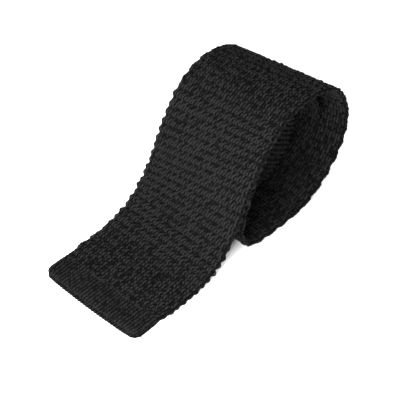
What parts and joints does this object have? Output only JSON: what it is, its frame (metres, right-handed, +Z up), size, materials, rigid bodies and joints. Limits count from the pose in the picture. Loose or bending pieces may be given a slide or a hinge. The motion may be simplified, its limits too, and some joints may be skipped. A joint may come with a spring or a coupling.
{
  "type": "necktie",
  "caption": "Rolled knitted necktie with a ribbed square hem; its front end lies out flat and folds up off the table.",
  "frame": {"origin": "on the table under the middle of the whole object", "axes": "+Z up, X along the roll's axis and the strap's width, -Y towards the hem of the laid-out front end"},
  "size_m": [0.0602, 0.141, 0.0688],
  "materials": {
    "blade_knit": "matt charcoal-black crunchy knit",
    "rib_knit": "matt charcoal-black fine rib",
    "fine_knit": "matt charcoal-black finer knit",
    "keeper_tape": "black woven tape with a low sheen",
    "sewing_thread": "black polyester thread"
  },
  "bodies": {
    "roll": {"blade_turn_1": "blade_knit", "blade_turn_2": "blade_knit", "neck_front": "fine_knit", "neck_seam": "sewing_thread", "neck_rear": "fine_knit", "tail_blade": "fine_knit", "hem_tail": "rib_knit", "keeper_loop": "keeper_tape", "keeper_tack_left": "sewing_thread", "keeper_tack_right": "sewing_thread"},
    "foot": {"blade_foot": "blade_knit"},
    "middle": {"blade_mid": "blade_knit"},
    "end": {"hem_front": "rib_knit", "blade_end": "blade_knit"}
  },
  "joints": [
    {"name": "foot_fold", "type": "hinge", "parent": "roll", "child": "foot", "pos_m": [0, -0.01264, 0.01337], "axis": [-0.9988, 0.0462, -0.0136], "range_deg": [0, 30]},
    {"name": "middle_fold", "type": "hinge", "parent": "foot", "child": "middle", "pos_m": [0, -0.02897, 0.00402], "axis": [-1, 0.0049, -0.003], "range_deg": [0, 30]},
    {"name": "end_fold", "type": "hinge", "parent": "middle", "child": "end", "pos_m": [0, -0.0485, 0.0028], "axis": [-1, 0, -0.0016], "range_deg": [0, 30]}
  ]
}
